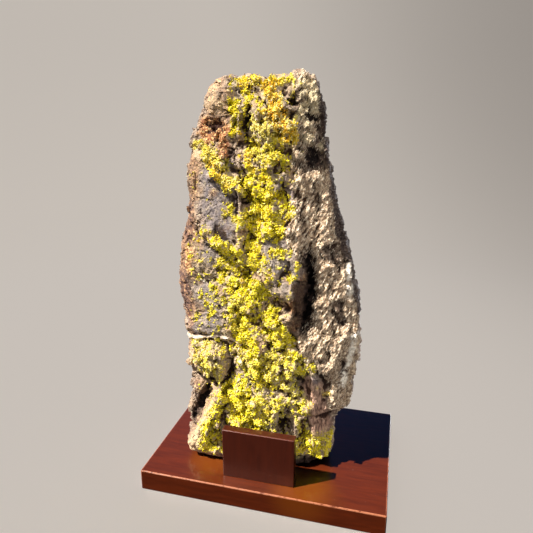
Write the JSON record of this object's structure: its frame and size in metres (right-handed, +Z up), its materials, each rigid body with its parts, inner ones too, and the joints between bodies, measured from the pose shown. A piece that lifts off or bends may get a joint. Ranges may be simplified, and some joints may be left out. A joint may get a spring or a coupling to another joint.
{
  "type": "pyromorphite specimen on stand",
  "caption": "Tall upright slab of matrix rock crusted in front with yellow-green hexagonal crystals, standing on a lacquered wooden board behind a small blank plate.",
  "frame": {"origin": "middle of the base board's underside", "axes": "+Z up; the crusted front of the specimen looks along -Y; +X to the right as seen from the front"},
  "size_m": [0.21, 0.145, 0.3475],
  "materials": {
    "rock_with_crystals": "rough broken rock, grey and tan, with waxy yellow-green crystals on the front",
    "lacquered_wood": "red-brown stain under glossy lacquer, edges worn lighter",
    "dark_wood": "dark red-brown stain under glossy lacquer"
  },
  "bodies": {
    "root": {"specimen": "rock_with_crystals", "base_board": "lacquered_wood", "front_plate": "dark_wood"}
  },
  "joints": []
}
